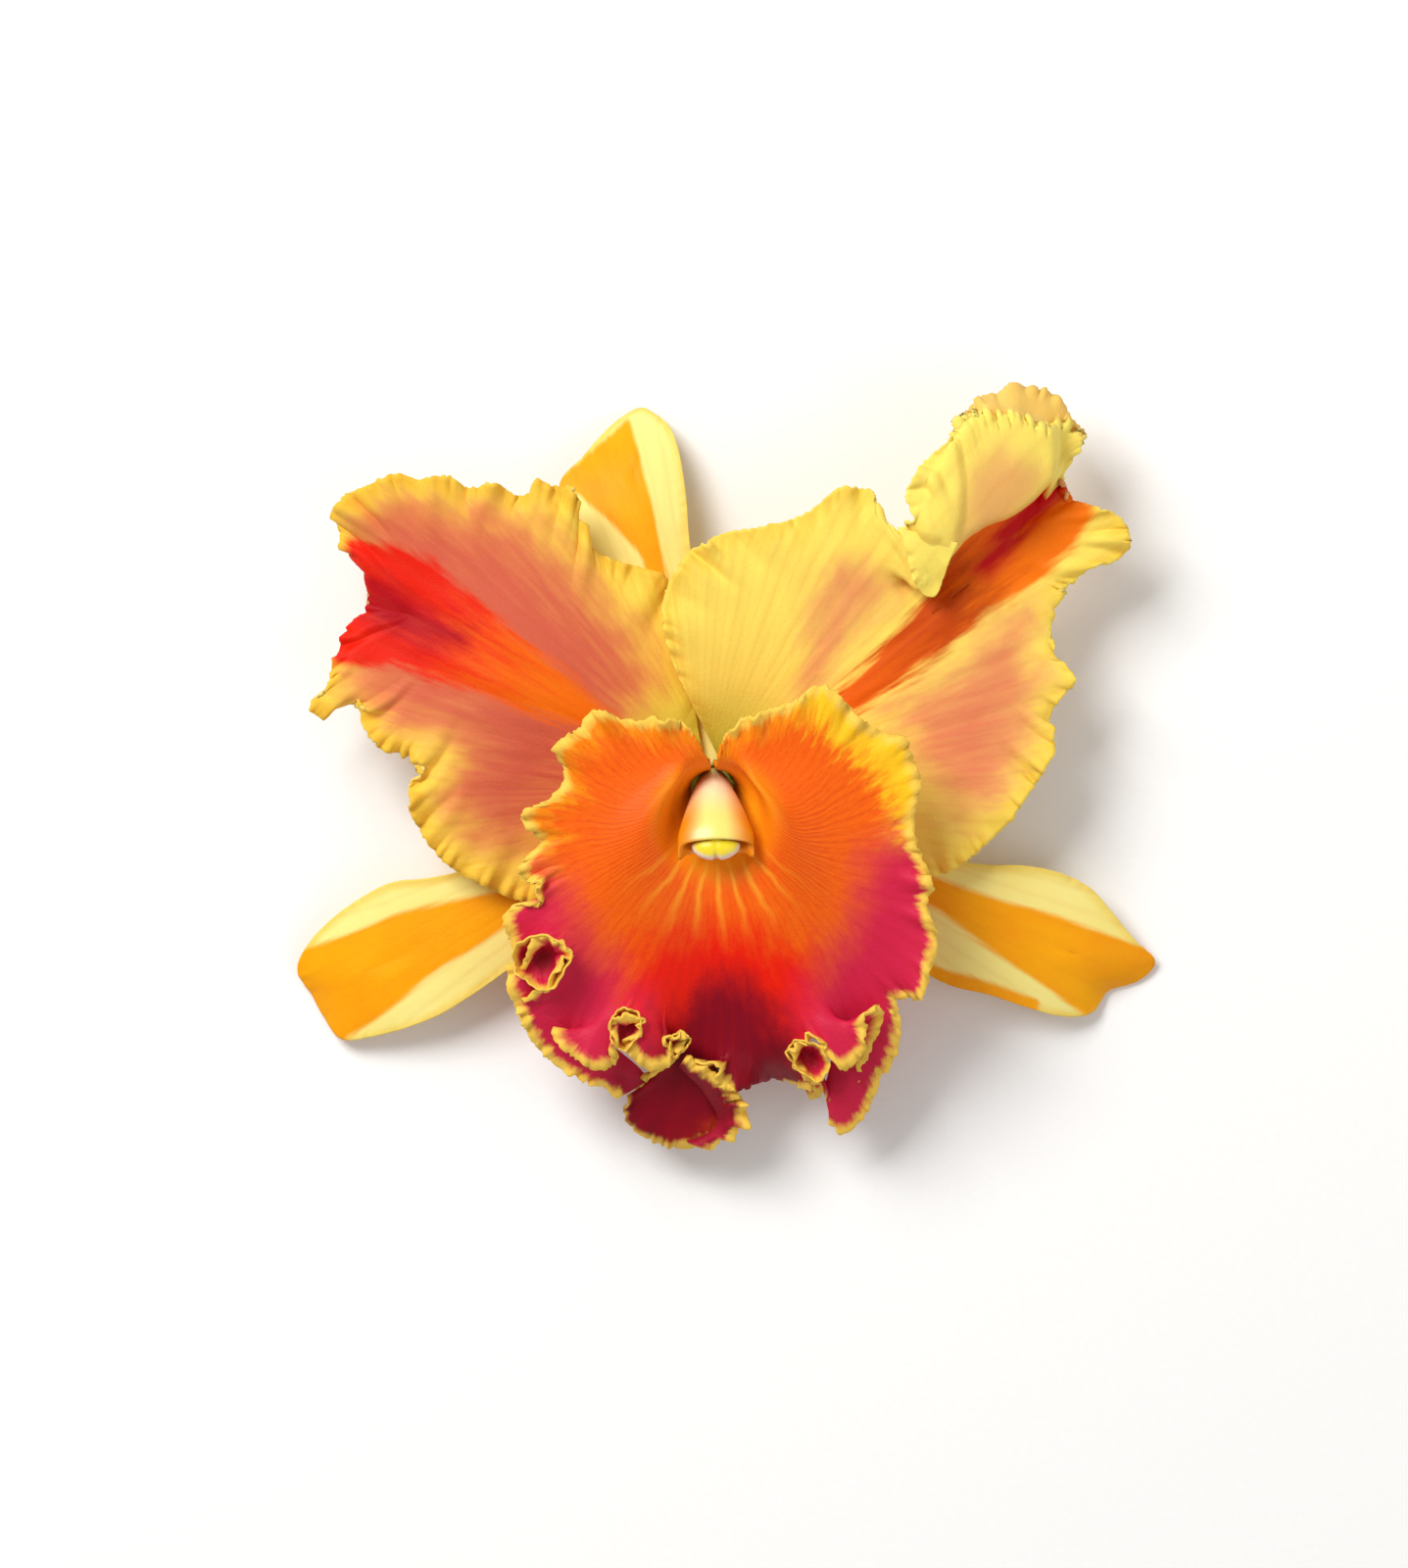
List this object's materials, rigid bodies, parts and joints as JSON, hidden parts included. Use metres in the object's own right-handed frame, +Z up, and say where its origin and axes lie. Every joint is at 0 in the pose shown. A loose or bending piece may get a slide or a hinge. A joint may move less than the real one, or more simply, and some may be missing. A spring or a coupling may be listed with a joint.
{
  "type": "cattleya orchid flower",
  "caption": "Large cattleya bloom with frilled petals and a flared, ruffled lip round its column, on a short cut stem, lying on its back with its face up.",
  "frame": {"origin": "middle of the bloom's footprint, at the height of the surface it lies on", "axes": "+X to the right as the face is looked at, +Y toward the dorsal sepal, +Z up, the way the flower faces"},
  "size_m": [0.1493, 0.1325, 0.0363],
  "materials": {
    "stem": "smooth green plant skin, satin",
    "sepal": "waxy sepal tissue, yellow with amber stripe, satin",
    "petal": "soft petal tissue, yellow and pink with orange to crimson stripe, fine sparkle",
    "lip": "velvety lip tissue, orange to dark crimson with yellow frill",
    "column": "waxy cream tissue, satin",
    "anther_cap": "waxy pinkish white tissue, satin",
    "pollen": "yellow pollen wax"
  },
  "bodies": {
    "root": {"ovary_and_pedicel": "stem", "dorsal_sepal": "sepal", "lateral_sepal_left": "sepal", "lateral_sepal_right": "sepal", "petal_left": "petal", "petal_right": "petal", "lip": "lip", "column": "column", "anther_cap": "anther_cap", "pollinarium": "pollen"}
  },
  "joints": []
}
